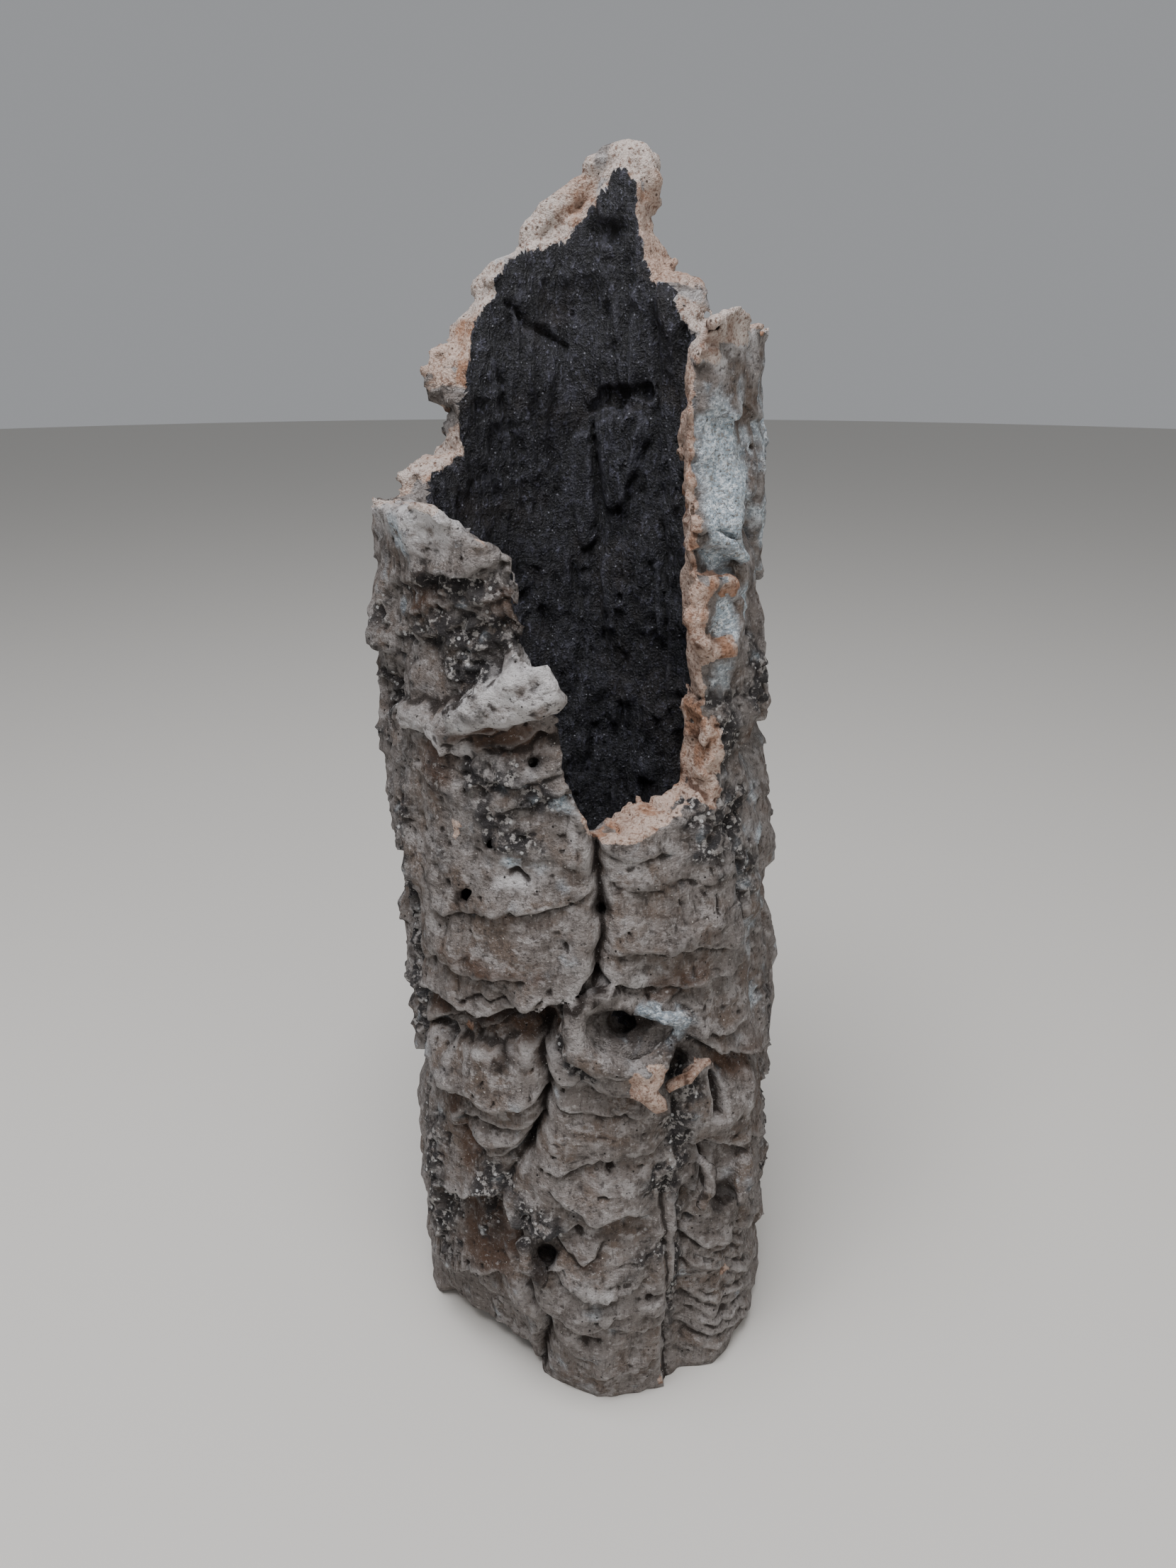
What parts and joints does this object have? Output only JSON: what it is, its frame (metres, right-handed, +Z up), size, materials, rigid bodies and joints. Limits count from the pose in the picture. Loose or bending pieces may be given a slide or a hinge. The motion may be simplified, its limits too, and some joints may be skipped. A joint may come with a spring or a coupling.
{
  "type": "cork bark branch",
  "caption": "Hollow upright length of natural cork bark from a branch, broken open at the front, with ridged bark, a torn knot and a pointed back.",
  "frame": {"origin": "on the floor, at the middle of the box round the bark's base", "axes": "+Z up along the branch to the pointed back, -Y towards the broken-open front, +X to the right seen from the front"},
  "size_m": [0.1726, 0.1712, 0.5062],
  "materials": {
    "cork_bark": "rough weathered cork bark, matt grey-brown, charred dark inside"
  },
  "bodies": {
    "root": {"cork_bark": "cork_bark"}
  },
  "joints": []
}
